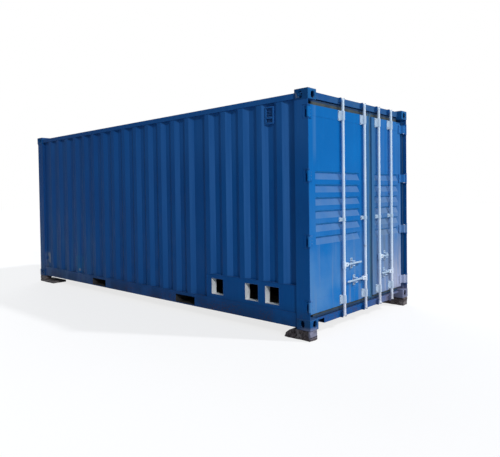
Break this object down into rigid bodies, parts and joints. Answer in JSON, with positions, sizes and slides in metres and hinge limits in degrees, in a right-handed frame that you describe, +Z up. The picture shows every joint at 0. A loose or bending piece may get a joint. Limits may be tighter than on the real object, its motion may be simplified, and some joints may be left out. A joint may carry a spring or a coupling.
{
  "type": "shipping container",
  "caption": "Steel cargo container with corrugated walls, hinged double doors with turning locking bars, corner castings and square side openings, on timber blocks.",
  "frame": {"origin": "on the ground under the middle of the container, below the timber blocks", "axes": "+X along the length to the door end, -Y the side with three square openings, +Z up"},
  "size_m": [6.058, 2.438, 2.701],
  "materials": {
    "container_paint": "weathered deep blue paint, dusty, with rust at edges and scrapes",
    "door_paint": "sun-faded blue paint with chalky washed areas",
    "casting_paint": "chipped blue paint over rusty cast steel",
    "zinc_steel": "dull galvanised steel with pale zinc bloom",
    "white_trim": "white paint, a little dirty",
    "gasket_rubber": "perished brownish black rubber",
    "block_timber": "weathered brown softwood with end grain",
    "floor_plywood": "worn hardwood plywood",
    "underframe_coat": "dark waxy underbody coating"
  },
  "bodies": {
    "container": {"corner_castings_top": "casting_paint", "corner_castings_bottom": "casting_paint", "rear_posts": "container_paint", "front_posts": "container_paint", "top_side_rails": "container_paint", "bottom_side_rails": "container_paint", "door_header": "container_paint", "door_sill": "container_paint", "front_top_rail": "container_paint", "front_bottom_rail": "container_paint", "front_wall": "container_paint", "side_wall_left_front": "container_paint", "side_wall_left_rear": "container_paint", "side_wall_right": "container_paint", "opening_plate": "container_paint", "opening_sleeves": "white_trim", "roof_panel": "container_paint", "floor_boards": "floor_plywood", "cross_members": "underframe_coat", "fork_pockets": "underframe_coat", "hinge_lugs": "door_paint", "bar_keepers": "container_paint", "ventilators": "container_paint", "timber_blocks": "block_timber", "packing_boards": "block_timber"},
    "left_door": {"left_door_stiles": "door_paint", "left_door_rails": "door_paint", "left_door_panel": "door_paint", "left_door_gasket": "gasket_rubber", "left_hinge_blades": "door_paint", "left_door_fittings": "zinc_steel"},
    "right_door": {"right_door_stiles": "door_paint", "right_door_rails": "door_paint", "right_door_panel": "door_paint", "right_door_gasket": "gasket_rubber", "right_hinge_blades": "door_paint", "right_door_fittings": "zinc_steel"},
    "bar_1": {"locking_bar_1": "zinc_steel", "bar_handle_1": "zinc_steel"},
    "bar_2": {"locking_bar_2": "zinc_steel", "bar_handle_2": "zinc_steel"},
    "bar_3": {"locking_bar_3": "zinc_steel", "bar_handle_3": "zinc_steel"},
    "bar_4": {"locking_bar_4": "zinc_steel", "bar_handle_4": "zinc_steel"}
  },
  "joints": [
    {"name": "left_door_hinge", "type": "hinge", "parent": "container", "child": "left_door", "pos_m": [3.017, -1.207, 1.4], "axis": [0, 0, -1], "range_deg": [0, 270]},
    {"name": "right_door_hinge", "type": "hinge", "parent": "container", "child": "right_door", "pos_m": [3.017, 1.207, 1.4], "axis": [0, 0, 1], "range_deg": [0, 270]},
    {"name": "bar_1_turn", "type": "hinge", "parent": "left_door", "child": "bar_1", "pos_m": [2.997, -0.455, 1.4], "axis": [0, 0, 1], "range_deg": [-100, 0]},
    {"name": "bar_2_turn", "type": "hinge", "parent": "left_door", "child": "bar_2", "pos_m": [2.997, 0.06, 1.4], "axis": [0, 0, -1], "range_deg": [-100, 0]},
    {"name": "bar_3_turn", "type": "hinge", "parent": "right_door", "child": "bar_3", "pos_m": [2.997, 0.44, 1.4], "axis": [0, 0, 1], "range_deg": [-100, 0]},
    {"name": "bar_4_turn", "type": "hinge", "parent": "right_door", "child": "bar_4", "pos_m": [2.997, 0.787, 1.4], "axis": [0, 0, -1], "range_deg": [-100, 0]}
  ]
}
